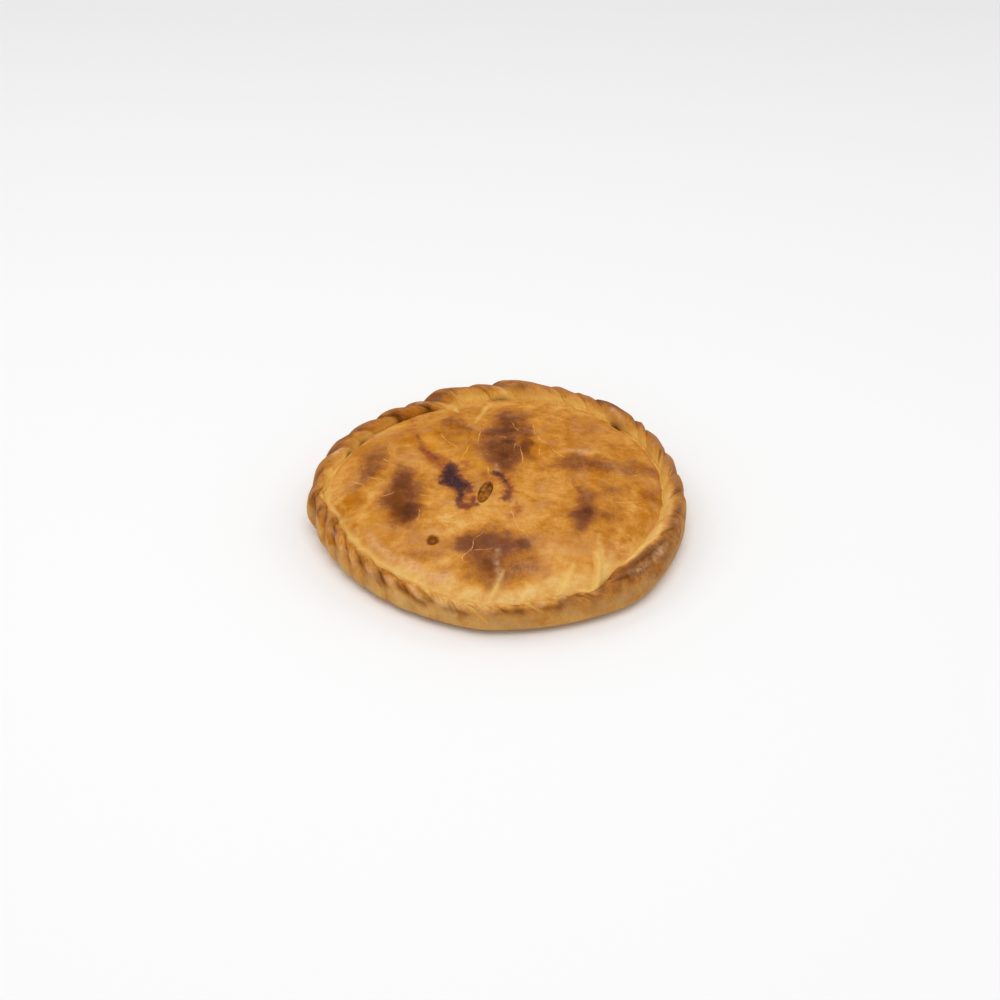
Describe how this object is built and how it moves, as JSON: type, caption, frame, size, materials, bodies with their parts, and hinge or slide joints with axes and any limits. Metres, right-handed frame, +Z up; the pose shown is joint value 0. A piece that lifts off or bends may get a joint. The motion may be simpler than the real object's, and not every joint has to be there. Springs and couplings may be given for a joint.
{
  "type": "round empanada",
  "caption": "Whole round empanada: a flat golden pie with a rope-folded rim, browned patches on its low domed lid and a small steam vent.",
  "frame": {"origin": "middle of the flat base, under the centre of the pie's own box", "axes": "+Z up through the lid, -Y towards the viewer of the picture, +X to their right"},
  "size_m": [0.2852, 0.283, 0.0381],
  "materials": {
    "crust": "baked dough, egg-washed to a soft sheen",
    "filling": "moist cooked filling"
  },
  "bodies": {
    "root": {"crust": "crust", "filling": "filling"}
  },
  "joints": []
}
